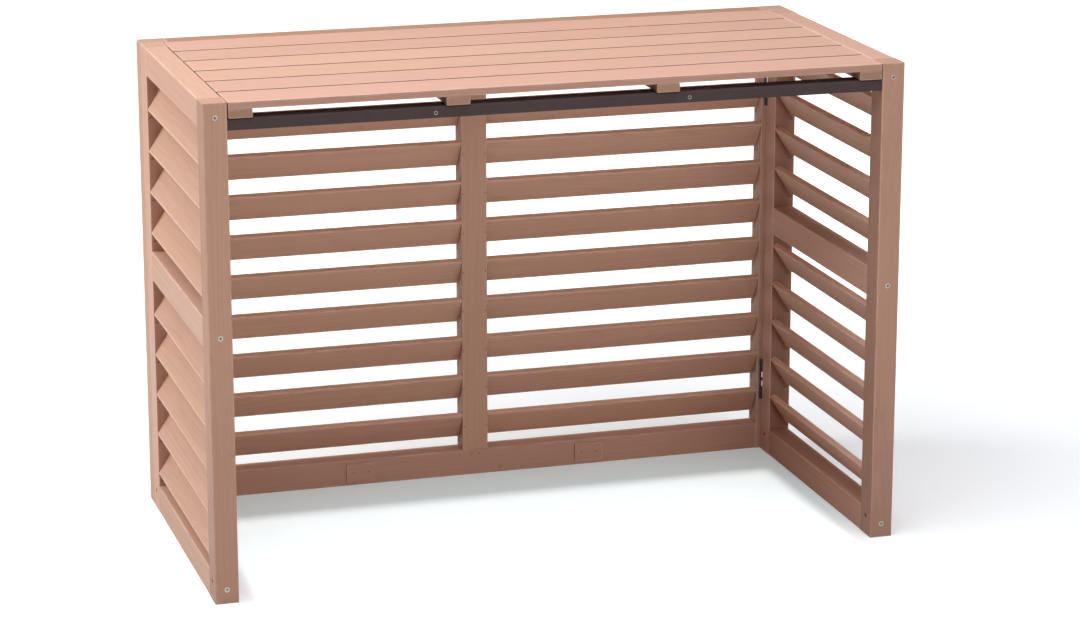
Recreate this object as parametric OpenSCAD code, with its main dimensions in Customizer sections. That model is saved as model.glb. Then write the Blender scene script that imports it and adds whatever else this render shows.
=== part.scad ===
// Wooden louvred cover that stands round the outdoor unit of an air conditioner.
// Two side panels hang on butt hinges at the inner corners of one wide louvred panel.
// A lid of boards on battens drops in between them, onto a steel brace at the open side
// and a wooden ledger on the wide panel, and lifts straight off.
// X runs across the cover, Y from the open side to the wide panel, Z up from the floor.

/* [Overall] */
// Width over the outer faces of the side panels
width = 1000; // [860:10:1200]
// Depth from the open side to the outer face of the wide panel
depth = 490; // [440:5:560]
// Height of the posts, with the lid flush at the top
height = 700; // [640:10:820]

/* [Panel frames] */
// Thickness of the three panels
panel_t = 33; // [30:1:42]
// Width of the upright stiles
stile_w = 40; // [34:1:52]
// Height of the top and bottom rails
rail_h = 40; // [36:1:52]
// Height of the middle rail of a side panel
mid_rail_h = 43; // [36:1:46]
// How far the middle rail lies below the place of the slat that it replaces
mid_rail_drop = 5; // [3:1:7]
// Radius on the long edges of the timber
edge_r = 1.6; // [0.5:0.1:3]
// Width of the stub tenons of the centre stile
stub_w = 24; // [16:1:28]
// Thickness of those tenons
stub_t = 11; // [8:1:14]
// Length of those tenons
stub_l = 18; // [14:1:26]

/* [Slats] */
// Number of slats in each bay of the wide panel
slat_count = 10; // [8:1:11]
// Which place from the bottom, counted from 0, the side panels give to the middle rail
mid_place = 5; // [3:1:6]
// Thickness of a slat
slat_t = 9; // [7:0.5:11]
// Slope of a slat, measured from level
slat_tilt = 58; // [50:1:64]
// Distance that the slat edges lie behind the faces of the panel
slat_inset = 0.3; // [0.2:0.1:2]
// Clear height from the bottom rail to the lowest slat
slat_lift = 15; // [8:1:24]
// Clear height from the highest slat to the top rail
slat_drop = 11; // [6:1:20]
// Length of the stub tenon on each end of a slat
tenon_l = 5; // [3:0.5:8]
// Width of that tenon
tenon_w = 34; // [20:1:35]

/* [Lid] */
// Number of boards in the lid
board_count = 6; // [4:1:8]
// Thickness of the boards
board_t = 10; // [8:1:14]
// Gap between two boards
board_gap = 5; // [2:0.5:8]
// Radius on the long edges of the boards
board_r = 0.8; // [0.3:0.1:2]
// Number of battens under the boards
batten_count = 4; // [3:1:5]
// Width of a batten
batten_w = 33; // [24:1:45]
// Thickness of a batten
batten_t = 12; // [10:1:18]
// Play between the lid and the panels round it
lid_gap = 1.5; // [1:0.5:4]
// Play between the lid and what it rests on
seat_gap = 0.3; // [0.1:0.1:1]
// Depth of the ledger, measured out from the wide panel
ledger_d = 15; // [12:1:24]
// Height of the ledger
ledger_h = 17; // [13:1:18]
// Distance from each end of the ledger to the side panel
ledger_end = 12; // [8:1:40]
// Number of screws in the ledger
ledger_screw_count = 4; // [2:1:6]

/* [Steel brace] */
// Height of the face of the brace
brace_h = 16; // [12:1:17]
// Depth of the flange under the battens
brace_d = 28; // [16:1:30]
// Thickness of the steel
brace_t = 2; // [1.5:0.25:3]
// Outer bend radius of the angle
brace_bend = 2.6; // [2.1:0.1:5]
// Distance that the face lies behind the front of the posts
brace_recess = 1.5; // [0.5:0.5:5]
// Thickness of the end plates, which are let into the posts
plate_t = 2; // [1:0.25:4]
// Distance that the end plates start behind the face of the brace
plate_set = 3; // [2:0.5:4]
// Radius of the two holes in the face
brace_hole_r = 2.2; // [1:0.1:3]
// Distance of those holes from the middle
brace_hole_x = 181; // [60:1:300]

/* [Hinges] */
// Height of a hinge
hinge_h = 66; // [50:1:80]
// Height of the middle of the lower hinges above the floor
hinge_low = 115; // [90:1:200]
// Distance of the middle of the upper hinges below the top
hinge_drop = 115; // [90:1:200]
// Radius of the hinge barrel
barrel_r = 3.5; // [3:0.1:5]
// Radius of the hinge pin
pin_r = 1.5; // [1:0.1:2]
// Radius of the riveted ends of the pin
pin_head_r = 2.6; // [2.2:0.1:2.9]
// Width of a hinge leaf from the pin
leaf_w = 21; // [19:1:26]
// Thickness of a hinge leaf
leaf_t = 1.8; // [1.2:0.1:2.5]
// Number of knuckles in the barrel
knuckles = 5; // [3:2:7]
// Distance of a leaf's two screws from each other
leaf_screw_gap = 38; // [24:1:44]

/* [Fixings] */
// Radius of the anchor holes through the feet of the side stiles
anchor_r = 3.5; // [2:0.25:4]
// Height of the anchor holes above the floor
anchor_z = 28; // [28:1:32]
// Length of the screws that hold the side frames
frame_screw_l = 75; // [60:1:100]
// Shank radius of those screws
frame_screw_r = 2; // [1.5:0.1:2.4]
// Head radius of those screws
frame_head_r = 3.8; // [3:0.1:4.5]
// Shank radius of the small screws in the hinges, lid, ledger and brace
small_screw_r = 1.5; // [1:0.1:1.8]
// Head radius of the small screws
small_head_r = 3; // [2.5:0.1:3.4]
// Length of the screws that hold the boards to the battens
lid_screw_l = 18; // [15:0.5:19]
// Length of the screws that hold the ledger
ledger_screw_l = 36; // [28:1:40]
// Length of the screws in the hinge leaves and the end plates
small_screw_l = 13; // [10:1:14]
// Radius of the brads
brad_r = 0.9; // [0.6:0.1:1.2]
// Length of the brads
brad_l = 20; // [19:1:24]
// Distance of the brads in the centre stile's tenons from its middle
stub_brad_x = 6; // [4:0.5:7]
// Distance of those brads from the edge of the rail
stub_brad_z = 7.2; // [4:0.1:10]
// Radius of the dowels in the corners of the wide panel
dowel_r = 4; // [3:0.5:4.5]
// Length of those dowels
dowel_l = 40; // [30:1:60]
// Distance of the two dowels in a corner from each other
dowel_gap = 18; // [14:1:20]

/* [Pads on the bottom rail] */
// Width of a pad
pad_w = 45; // [30:1:60]
// Height of a pad
pad_h = 28; // [20:1:30]
// Thickness of a pad
pad_t = 2.5; // [1.5:0.5:3]
// Distance of the middle of each pad from the middle of the rail
pad_x = 182; // [100:1:300]
// Distance of a pad's two brads from each other
pad_brad_gap = 23; // [12:1:26]

/* [Hidden] */

$fn = 32;
edge_steps = 3;      // straight steps in a rounded timber edge
fit = 0.2;           // play round a tenon, a leaf or a plate in its socket
hole_fit = 0.1;      // play round a screw, pin, dowel or brad in its hole
sunk = 0.1;          // how far a screw or brad head lies under the surface
over = 2;            // how far a cutter runs past the surface that it enters
head_h = 2;          // height of a countersunk head
recess_w = 1.1;      // width of an arm of the cross recess
recess_l = 4.4;      // length of that arm
recess_d = 1.5;      // depth of the recess
head_cap = 1.2;      // height of the riveted ends of a hinge pin
leaf_start = 1.7;    // how far a back leaf reaches past the line of the pin
web_w = 3;           // thickness of the web from a back leaf to its knuckles
barrel_play = 0.3;   // play beside the barrel
seg_gap = 0.3;       // play between two knuckles

// Planes of the panels
half_w = width / 2;
x_in = half_w - panel_t;
x_mid = half_w - panel_t / 2;
y_open = -depth / 2;
y_out = depth / 2;
y_in = y_out - panel_t;
y_mid = y_out - panel_t / 2;
top_rail_z = height - rail_h;

// Slats: their width fills the thickness of the panel, their pitch its height
slat_w = (panel_t - 2 * slat_inset - slat_t * sin(slat_tilt)) / cos(slat_tilt);
slat_rise = slat_w * sin(slat_tilt) + slat_t * cos(slat_tilt);
slat_pitch = (top_rail_z - rail_h - slat_lift - slat_drop - slat_rise) / (slat_count - 1);
function slat_z(place) = rail_h + slat_lift + slat_rise / 2 + place * slat_pitch;
all_places = [for (place = [0 : slat_count - 1]) place];
lower_places = [for (place = all_places) if (place < mid_place) place];
upper_places = [for (place = all_places) if (place > mid_place) place];
side_places = concat(lower_places, upper_places);
mid_rail_z = slat_z(mid_place) - mid_rail_drop;

// Bays between the stiles
side_bay_l = y_in - y_open - 2 * stile_w;
side_bay_y = (y_in + y_open) / 2;
back_bay_l = (width - 3 * stile_w) / 2;
back_bay_x = (stile_w + back_bay_l) / 2;

// Lid
lid_l = 2 * (x_in - lid_gap);
lid_d = y_in - lid_gap - y_open;
board_w = (lid_d - (board_count - 1) * board_gap) / board_count;
lid_seat_z = height - board_t - batten_t;
rest_z = lid_seat_z - seat_gap;
batten_span = lid_l - batten_w;
function board_y(i) = y_open + i * (board_w + board_gap);
function batten_x(i) = -batten_span / 2 + i * batten_span / (batten_count - 1);

// Ledger, brace and end plates
ledger_l = 2 * (x_in - ledger_end);
function ledger_screw_x(i) = ledger_l * ((i + 0.5) / ledger_screw_count - 0.5);
brace_y = y_open + brace_recess;
plate_y = brace_y + plate_set;
plate_d = brace_d - plate_set;
plate_screw_z = rest_z - brace_t - (brace_h - brace_t) / 2;
plate_screw_y = plate_y + plate_d / 2;

// Heights of the side frame's screws, one in the end of each rail
screw_heights = [rail_h / 2, mid_rail_z, height - rail_h / 2];

// Hinge: measured from the pin, with the wide panel's inner face behind the barrel
face_y = barrel_r + fit;
back_plate_y = face_y + sunk;
side_plate_y = face_y - sunk - leaf_t;
side_leaf_x = barrel_r + barrel_play;
seg_h = hinge_h / knuckles;
leaf_screw_x = (side_leaf_x + leaf_w) / 2;
hinge_high = height - hinge_drop;
hinge_heights = [hinge_low, hinge_high];

// Outline of a rectangle with rounded corners, lower left corner at the origin
function rounded(a, b, r) = [
    for (corner = [[a - r, b - r, 0], [r, b - r, 90], [r, r, 180], [a - r, r, 270]],
         step = [0 : edge_steps])
    let (turn = corner[2] + step * 90 / edge_steps)
    [corner[0] + r * cos(turn), corner[1] + r * sin(turn)]
];

// Timber with its grain along X, Y or Z and its long edges rounded
module timber_x(l, b, h, r = edge_r) rotate([90, 0, 90]) linear_extrude(l) polygon(rounded(b, h, r));
module timber_y(l, b, h) translate([0, l, 0]) rotate([90, 0, 0])
    linear_extrude(l) polygon(rounded(b, h, edge_r));
module timber_z(l, b, d) linear_extrude(l) polygon(rounded(b, d, edge_r));

module wood() color([0.72, 0.53, 0.44]) children();
module pale_wood() color([0.85, 0.72, 0.55]) children();
module dark_steel() color([0.24, 0.19, 0.18]) children();
module zinc() color([0.78, 0.78, 0.74]) children();
module black_steel() color([0.12, 0.12, 0.13]) children();

// Countersunk screw along Z, with the face of its head at the origin
module screw(l, r, head_r) difference() {
    rotate_extrude() polygon([[0, sunk], [head_r, sunk], [r, head_h], [r, l - 3 * r], [0, l]]);
    for (turn = [0, 90]) rotate([0, 0, turn])
        translate([-recess_l / 2, -recess_w / 2, -over]) cube([recess_l, recess_w, over + recess_d]);
}

// The hole that such a screw needs, open past the surface that it enters
module screw_hole(l, r, head_r) rotate_extrude()
    polygon([[0, -over], [head_r + hole_fit, -over], [head_r + hole_fit, sunk], [r + hole_fit, head_h],
        [r + hole_fit, l + hole_fit], [0, l + hole_fit]]);

// Slats lie along X, with their outer edge low towards +Y
module slat(l) rotate([-slat_tilt, 0, 0]) {
    translate([-l / 2, -slat_w / 2, -slat_t / 2]) timber_x(l, slat_w, slat_t);
    translate([-l / 2 - tenon_l, -tenon_w / 2, -slat_t / 2]) cube([l + 2 * tenon_l, tenon_w, slat_t]);
}
module slat_sockets(l, places) for (place = places) translate([0, 0, slat_z(place)])
    rotate([-slat_tilt, 0, 0])
    translate([-l / 2 - tenon_l - fit, -tenon_w / 2 - fit, -slat_t / 2 - fit])
    cube([l + 2 * tenon_l + 2 * fit, tenon_w + 2 * fit, slat_t + 2 * fit]);

// Places that pieces and the cuts for them share
module in_side_bay() translate([x_mid, side_bay_y, 0]) rotate([0, 0, -90]) children();
module in_back_bays(signs = [-1, 1]) for (s = signs) translate([s * back_bay_x, y_mid, 0]) children();
module at_front_screws() for (z = screw_heights) translate([x_mid, y_open, z]) rotate([-90, 0, 0]) children();
module at_rear_screws() for (z = screw_heights) translate([x_mid, y_in, z]) rotate([90, 0, 0]) children();
module at_hinges(heights) for (z = heights) translate([x_in, y_in - face_y, z - hinge_h / 2]) children();
module at_leaf_screws() for (s = [-1, 1])
    translate([leaf_screw_x, face_y, hinge_h / 2 + s * leaf_screw_gap / 2]) children();
module at_plate_screw() translate([x_in, plate_screw_y, plate_screw_z]) rotate([0, 90, 0]) children();
module at_lid_screws() for (i = [0 : board_count - 1], j = [0 : batten_count - 1])
    translate([batten_x(j), board_y(i) + board_w / 2, lid_seat_z]) children();
module at_ledger_screws() for (i = [0 : ledger_screw_count - 1])
    translate([ledger_screw_x(i), y_in - ledger_d, rest_z - ledger_h / 2]) rotate([-90, 0, 0]) children();
module at_slat_brads() for (s = [-1, 1], place = all_places)
    translate([s * (stile_w - tenon_l) / 2, y_in, slat_z(place)]) rotate([-90, 0, 0]) children();
module at_stub_brads() for (s = [-1, 1], z = [rail_h - stub_brad_z, top_rail_z + stub_brad_z])
    translate([s * stub_brad_x, y_in, z]) rotate([-90, 0, 0]) children();
module at_pad_brads() for (s = [-1, 1], t = [-1, 1])
    translate([s * pad_x + t * pad_brad_gap / 2, y_in - pad_t, rail_h / 2]) rotate([-90, 0, 0]) children();
module at_dowels() for (s = [-1, 1], z = [rail_h / 2, height - rail_h / 2], t = [-1, 1])
    translate([s * (half_w - stile_w), y_mid, z + t * dowel_gap / 2]) rotate([0, 90, 0]) children();
module on_both_sides() for (s = [0, 1]) mirror([s, 0, 0]) children();

module frame_screw_holes() {
    at_front_screws() screw_hole(frame_screw_l, frame_screw_r, frame_head_r);
    at_rear_screws() screw_hole(frame_screw_l, frame_screw_r, frame_head_r);
}
module small_screw_hole(l) screw_hole(l, small_screw_r, small_head_r);
module brad_hole() translate([0, 0, -over]) cylinder(r = brad_r + hole_fit, h = over + brad_l + hole_fit);
module dowel_hole() cylinder(r = dowel_r + hole_fit, h = dowel_l + 2 * hole_fit, center = true);
module anchor_hole(y) translate([x_in - over, y, anchor_z]) rotate([0, 90, 0])
    cylinder(r = anchor_r, h = panel_t + 2 * over);

// Right side panel; the left one is its mirror image
module side_front_stile() wood() difference() {
    translate([x_in, y_open, 0]) timber_z(height, panel_t, stile_w);
    in_side_bay() slat_sockets(side_bay_l, side_places);
    frame_screw_holes();
    anchor_hole(y_open + stile_w / 2);
    translate([x_in - over, plate_y - fit, rest_z - brace_h - fit])
        cube([over + plate_t, plate_d + 2 * fit, brace_h + 2 * fit]);
    at_plate_screw() small_screw_hole(small_screw_l);
}

module side_rear_stile() wood() difference() {
    translate([x_in, y_in - stile_w, 0]) timber_z(height, panel_t, stile_w);
    in_side_bay() slat_sockets(side_bay_l, side_places);
    frame_screw_holes();
    anchor_hole(y_in - stile_w / 2);
    at_hinges(hinge_heights) {
        translate([-over, -barrel_r - fit, -over])
            cube([over + side_leaf_x, barrel_r + face_y + fit + over, hinge_h + 2 * over]);
        translate([0, side_plate_y, -fit]) cube([leaf_w + fit, leaf_t + sunk + over, hinge_h + 2 * fit]);
        at_leaf_screws() rotate([90, 0, 0]) small_screw_hole(small_screw_l);
    }
}

module side_rail(z, h) wood() difference() {
    translate([x_in, y_open + stile_w, z]) timber_y(side_bay_l, panel_t, h);
    frame_screw_holes();
}

module side_mid_rail() side_rail(mid_rail_z - mid_rail_h / 2, mid_rail_h);

module side_slats(places) wood() in_side_bay()
    for (place = places) translate([0, 0, slat_z(place)]) slat(side_bay_l);

// Wide panel
module back_stile() wood() difference() {
    translate([half_w - stile_w, y_in, 0]) timber_z(height, stile_w, panel_t);
    in_back_bays([1]) slat_sockets(back_bay_l, all_places);
    at_dowels() dowel_hole();
    at_hinges(hinge_heights) {
        translate([-leaf_start - fit, face_y - over, -fit])
            cube([leaf_start + leaf_w + 2 * fit, over + sunk + leaf_t, hinge_h + 2 * fit]);
        at_leaf_screws() rotate([-90, 0, 0]) small_screw_hole(small_screw_l);
    }
}

module back_centre_stile() wood() difference() {
    union() {
        translate([-stile_w / 2, y_in, rail_h]) timber_z(top_rail_z - rail_h, stile_w, panel_t);
        translate([-stub_w / 2, y_mid - stub_t / 2, rail_h - stub_l])
            cube([stub_w, stub_t, top_rail_z - rail_h + 2 * stub_l]);
    }
    in_back_bays() slat_sockets(back_bay_l, all_places);
    at_slat_brads() brad_hole();
    at_stub_brads() brad_hole();
}

module back_rail(z) wood() difference() {
    translate([stile_w - half_w, y_in, z]) timber_x(width - 2 * stile_w, panel_t, rail_h);
    translate([-stub_w / 2 - fit, y_mid - stub_t / 2 - fit, rail_h - stub_l - fit])
        cube([stub_w + 2 * fit, stub_t + 2 * fit, top_rail_z - rail_h + 2 * stub_l + 2 * fit]);
    at_dowels() dowel_hole();
    at_stub_brads() brad_hole();
    at_pad_brads() brad_hole();
    at_ledger_screws() small_screw_hole(ledger_screw_l);
}

module back_slats(s) wood() difference() {
    in_back_bays([s]) for (place = all_places) translate([0, 0, slat_z(place)]) slat(back_bay_l);
    at_slat_brads() brad_hole();
}

module back_ledger() wood() difference() {
    translate([-ledger_l / 2, y_in - ledger_d, rest_z - ledger_h]) timber_x(ledger_l, ledger_d, ledger_h);
    at_ledger_screws() small_screw_hole(ledger_screw_l);
}

module rail_pads() wood() difference() {
    for (s = [-1, 1]) translate([s * pad_x - pad_w / 2, y_in, (rail_h - pad_h) / 2])
        rotate([90, 0, 0]) linear_extrude(pad_t) polygon(rounded(pad_w, pad_h, edge_r));
    at_pad_brads() brad_hole();
}

// Lid
module top_board(i) wood() difference() {
    translate([-lid_l / 2, board_y(i), height - board_t]) timber_x(lid_l, board_w, board_t, board_r);
    at_lid_screws() small_screw_hole(lid_screw_l);
}

module top_batten(j) wood() difference() {
    translate([batten_x(j) - batten_w / 2, y_open, lid_seat_z]) timber_y(lid_d, batten_w, batten_t);
    at_lid_screws() small_screw_hole(lid_screw_l);
}

// Steel brace: an angle whose flange carries the battens
module front_brace() dark_steel() difference() {
    translate([-x_in, brace_y, rest_z]) rotate([90, 0, 90]) linear_extrude(2 * x_in) polygon(concat(
        [[0, -brace_h]],
        [for (step = [0 : 4]) let (turn = 180 - step * 22.5)
            [brace_bend + brace_bend * cos(turn), -brace_bend + brace_bend * sin(turn)]],
        [[brace_d, 0], [brace_d, -brace_t]],
        [for (step = [0 : 4]) let (turn = 90 + step * 22.5, r = brace_bend - brace_t)
            [brace_bend + r * cos(turn), -brace_bend + r * sin(turn)]],
        [[brace_t, -brace_h]]
    ));
    for (s = [-1, 1]) translate([s * brace_hole_x, brace_y - over, plate_screw_z]) rotate([-90, 0, 0])
        cylinder(r = brace_hole_r, h = brace_t + 2 * over);
}

module brace_end_plates() zinc() on_both_sides() difference() {
    translate([x_in, plate_y, rest_z - brace_h]) cube([plate_t, plate_d, brace_h]);
    at_plate_screw() small_screw_hole(small_screw_l);
}

// Hinges, drawn at the right corner
module knuckle(k) translate([0, 0, k * seg_h + seg_gap / 2]) cylinder(r = barrel_r, h = seg_h - seg_gap);
module web(k, x, y, w, d) translate([x, y, k * seg_h + seg_gap / 2]) cube([w, d, seg_h - seg_gap]);
module pin_bore() translate([0, 0, -over]) cylinder(r = pin_r + hole_fit, h = hinge_h + 2 * over);

module hinge_back_leaf(z) black_steel() at_hinges([z]) difference() {
    union() {
        translate([-leaf_start, back_plate_y, 0]) cube([leaf_start + leaf_w, leaf_t, hinge_h]);
        for (k = [0 : 2 : knuckles - 1]) {
            knuckle(k);
            web(k, -web_w / 2, 0, web_w, back_plate_y + leaf_t / 2);
        }
    }
    pin_bore();
    at_leaf_screws() rotate([-90, 0, 0]) small_screw_hole(small_screw_l);
}

module hinge_side_leaf(z) black_steel() at_hinges([z]) difference() {
    union() {
        translate([side_leaf_x, side_plate_y, 0]) cube([leaf_w - side_leaf_x, leaf_t, hinge_h]);
        for (k = [1 : 2 : knuckles - 2]) {
            knuckle(k);
            web(k, 0, side_plate_y, side_leaf_x + 1, leaf_t);
        }
    }
    pin_bore();
    at_leaf_screws() rotate([90, 0, 0]) small_screw_hole(small_screw_l);
}

module hinge_pin(z) zinc() at_hinges([z]) {
    translate([0, 0, -head_cap / 2]) cylinder(r = pin_r, h = hinge_h + head_cap);
    for (end = [-head_cap, hinge_h]) translate([0, 0, end]) cylinder(r = pin_head_r, h = head_cap);
}

// Fixings
module front_stile_screws() zinc() on_both_sides()
    at_front_screws() screw(frame_screw_l, frame_screw_r, frame_head_r);
module rear_stile_screws() zinc() on_both_sides()
    at_rear_screws() screw(frame_screw_l, frame_screw_r, frame_head_r);
module hinge_screws() black_steel() on_both_sides() at_hinges(hinge_heights) at_leaf_screws()
    for (turn = [-90, 90]) rotate([turn, 0, 0]) screw(small_screw_l, small_screw_r, small_head_r);
module lid_screws() zinc() at_lid_screws() screw(lid_screw_l, small_screw_r, small_head_r);
module ledger_screws() zinc() at_ledger_screws() screw(ledger_screw_l, small_screw_r, small_head_r);
module brace_screws() zinc() on_both_sides()
    at_plate_screw() screw(small_screw_l, small_screw_r, small_head_r);
module corner_dowels() pale_wood() at_dowels() cylinder(r = dowel_r, h = dowel_l, center = true);
module brad() translate([0, 0, sunk]) cylinder(r = brad_r, h = brad_l - sunk);
module brads() zinc() {
    at_slat_brads() brad();
    at_stub_brads() brad();
    at_pad_brads() brad();
}

mirror([1, 0, 0]) side_front_stile();  // left_front_stile
mirror([1, 0, 0]) side_rear_stile();  // left_rear_stile
mirror([1, 0, 0]) side_rail(top_rail_z, rail_h);  // left_top_rail
mirror([1, 0, 0]) side_mid_rail();  // left_mid_rail
mirror([1, 0, 0]) side_rail(0, rail_h);  // left_bottom_rail
mirror([1, 0, 0]) side_slats(upper_places);  // left_upper_slats
mirror([1, 0, 0]) side_slats(lower_places);  // left_lower_slats
side_front_stile();  // right_front_stile
side_rear_stile();  // right_rear_stile
side_rail(top_rail_z, rail_h);  // right_top_rail
side_mid_rail();  // right_mid_rail
side_rail(0, rail_h);  // right_bottom_rail
side_slats(upper_places);  // right_upper_slats
side_slats(lower_places);  // right_lower_slats
mirror([1, 0, 0]) back_stile();  // back_left_stile
back_centre_stile();
back_stile();  // back_right_stile
back_rail(top_rail_z);  // back_top_rail
back_rail(0);  // back_bottom_rail
back_slats(-1);  // back_left_slats
back_slats(1);  // back_right_slats
back_ledger();
rail_pads();
top_board(0);  // top_board_1
top_board(1);  // top_board_2
top_board(2);  // top_board_3
top_board(3);  // top_board_4
top_board(4);  // top_board_5
top_board(5);  // top_board_6
top_batten(0);  // top_batten_1
top_batten(1);  // top_batten_2
top_batten(2);  // top_batten_3
top_batten(3);  // top_batten_4
front_brace();
brace_end_plates();
mirror([1, 0, 0]) hinge_side_leaf(hinge_low);  // left_lower_hinge_side_leaf
mirror([1, 0, 0]) hinge_back_leaf(hinge_low);  // left_lower_hinge_back_leaf
mirror([1, 0, 0]) hinge_pin(hinge_low);  // left_lower_hinge_pin
mirror([1, 0, 0]) hinge_side_leaf(hinge_high);  // left_upper_hinge_side_leaf
mirror([1, 0, 0]) hinge_back_leaf(hinge_high);  // left_upper_hinge_back_leaf
mirror([1, 0, 0]) hinge_pin(hinge_high);  // left_upper_hinge_pin
hinge_side_leaf(hinge_low);  // right_lower_hinge_side_leaf
hinge_back_leaf(hinge_low);  // right_lower_hinge_back_leaf
hinge_pin(hinge_low);  // right_lower_hinge_pin
hinge_side_leaf(hinge_high);  // right_upper_hinge_side_leaf
hinge_back_leaf(hinge_high);  // right_upper_hinge_back_leaf
hinge_pin(hinge_high);  // right_upper_hinge_pin
front_stile_screws();
rear_stile_screws();
hinge_screws();
lid_screws();
ledger_screws();
brace_screws();
corner_dowels();
brads();
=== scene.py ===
"""Wooden louvred cover for the outdoor unit of an air conditioner: materials, light and camera.

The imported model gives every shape. Here its timber gets a stained softwood with real rings and
fibres, and its steel a coat or plating. The screw heads in the front posts are made again in finer
detail, and each hole of the brace gets a bright rim.
"""

import math

import bmesh
import bpy
from mathutils import Matrix, Vector


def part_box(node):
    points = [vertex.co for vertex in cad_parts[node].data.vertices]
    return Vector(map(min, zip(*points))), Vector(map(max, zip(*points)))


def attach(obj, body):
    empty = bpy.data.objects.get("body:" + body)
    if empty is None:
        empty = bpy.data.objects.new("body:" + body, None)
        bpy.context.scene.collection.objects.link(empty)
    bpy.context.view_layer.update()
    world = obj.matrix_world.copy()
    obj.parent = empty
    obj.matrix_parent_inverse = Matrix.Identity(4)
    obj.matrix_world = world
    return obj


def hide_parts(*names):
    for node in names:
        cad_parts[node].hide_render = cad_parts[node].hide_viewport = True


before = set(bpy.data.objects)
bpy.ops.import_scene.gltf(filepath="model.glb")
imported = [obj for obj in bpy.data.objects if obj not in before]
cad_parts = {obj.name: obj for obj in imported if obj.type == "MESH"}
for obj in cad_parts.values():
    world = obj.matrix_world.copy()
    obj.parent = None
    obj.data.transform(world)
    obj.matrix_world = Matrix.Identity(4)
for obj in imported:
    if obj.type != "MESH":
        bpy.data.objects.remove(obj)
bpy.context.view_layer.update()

# Slats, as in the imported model: how they slope, how thick they are, how many a bay of the wide panel
# has, and how far their ends sit in the stiles
SLAT_TILT = math.radians(58)
SLAT_THICKNESS = 0.009
SLAT_COUNT = 10
TENON_LENGTH = 0.005

# Stained softwood: its early wood, late wood, knots and worn edges, the worn edges paler both from
# wear and as a painted highlight, and the same timber left raw
WOOD_PALE = (0.51, 0.302, 0.214)
WOOD_DARK = (0.415, 0.229, 0.157)
WOOD_KNOT = (0.29, 0.150, 0.100)
WOOD_WORN_AND_LIT = (0.70, 0.50, 0.39)
RAW_PALE = (0.72, 0.52, 0.34)
RAW_DARK = (0.56, 0.36, 0.21)
# Painted shade in the gaps between the lid's boards, on the sides of the boards that face a gap
GAP_SHADE_COLOUR = (0.125, 0.046, 0.022, 1)

# How much paler or darker each kind of timber is made, in red, green and blue. On the lid it is
# painted light; on the front posts, the wide panel's top rail, the battens and the right side panel's
# bottom rail it is painted shade; the other kinds differ only a little
PLAIN_TONE = (1.0, 1.0, 1.0)
POST_SHADE = (0.80, 0.745, 0.725)
SIDE_TONE = (1.09, 1.10, 1.13)
LID_LIGHT = (1.12, 1.12, 1.15)
SLAT_TONE = (1.05, 1.05, 1.05)
BACK_TOP_SHADE = (0.78, 0.72, 0.64)
PAD_TONE = (0.97, 0.95, 1.0)
RIGHT_FOOT_SHADE = (0.90, 0.84, 0.78)
BATTEN_SHADE = (0.64, 0.60, 0.56)
# End grain took a little more stain, and about as much on every lath
END_TONE = 0.96
# The boards' ends, which face the gap beside the lid, and the battens' ends get painted shade
BOARD_END_SHADE = 0.62
BATTEN_END_SHADE = 0.60
# How much the lid's front edge is darkened with the colour of the gaps' painted shade
FRONT_EDGE_DARKENING = 0.42
# The slats' narrow sides are made paler: painted light
SLAT_EDGE_LIGHT = (1.42, 1.54, 1.62, 1)
# The wide panel's bottom rail is made paler on top: painted light
RAIL_TOP_LIGHT = (1.45, 1.50, 1.56, 1)
# The front posts get painted shade, deeper towards the floor
FOOT_SHADE = (0.84, 0.84, 0.83, 1)
FOOT_HEIGHT = 0.42
# The pads' ends are painted as dark as the line of shade beside them: painted shade
PAD_END_SHADE = 0.30
# Painted shade on the stiles' slat sides, how far under a slat it reaches, and how soon it ends on
# the slat's other side
CORNER_SHADE = (0.19, 0.060, 0.022, 1)
SHADE_REACH = 0.011
SHADE_EDGE = 0.001

# How the timber grew, in metres: where the pith lies beside a lath, how far along the trunk each 1 of a
# lath's seed goes, how far the trunk bends and wavers, how wide a year's ring is and how far it ripples
PITH_SPREAD = 0.09
PITH_NEAR = 0.022
PITH_DEPTH = 0.060
TRUNK_STEP = 1.37
TRUNK_BEND = 0.030
TRUNK_WAVER = 0.0016
RING_WIDTH = 0.0036
RING_RIPPLE = 0.004
# How often a ring's width changes on the way out, per metre, and by how many rings
RING_CHANGES = 130.0
RING_VARIETY = 1.7
# A knot's size and the size of the swirl round it, as parts of the way between knots, and how far the
# rings swell there, in metres
KNOT_RIM, KNOT_HEART = 0.020, 0.010
SWIRL_SIZE = 0.15
KNOT_SWELL = 0.008
# What the late wood adds to the dark wood's share where the stain is thin and where it is thick, what
# fibres and streaks add to it, what it is everywhere, and how strongly a knot shows
LATE_SHARE_THIN, LATE_SHARE_THICK = 0.16, 0.40
FIBRE_SHARE = 0.12
STREAK_SHARE = 0.20
EVEN_SHARE = 0.08
KNOT_SHARE = 0.28
# How much laths differ in tone and the least that it is, the same for their green and blue, and how
# much the tone changes within a lath
OWN_TONE = (0.06, 0.96)
OWN_GREEN = (0.03, 0.98)
OWN_BLUE = (0.04, 0.985)
CLOUD_TONE = 0.12
# How far worn edges, paler also as a painted highlight, reach, in metres, and how strongly they show
WEAR_AND_HIGHLIGHT_REACH = 0.0024
WEAR_AND_HIGHLIGHT_SHARE = 0.5
# Gloss of the stain, and how strongly and how deep the grain shows as relief
STAIN_GLOSS = 0.35
GRAIN_STRENGTH = 0.35
GRAIN_DEPTH = 0.0003


def feed(tree, socket, value):
    """Joins a socket to another one, or sets its plain value."""
    if isinstance(value, bpy.types.NodeSocket):
        tree.links.new(value, socket)
    else:
        socket.default_value = value


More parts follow.
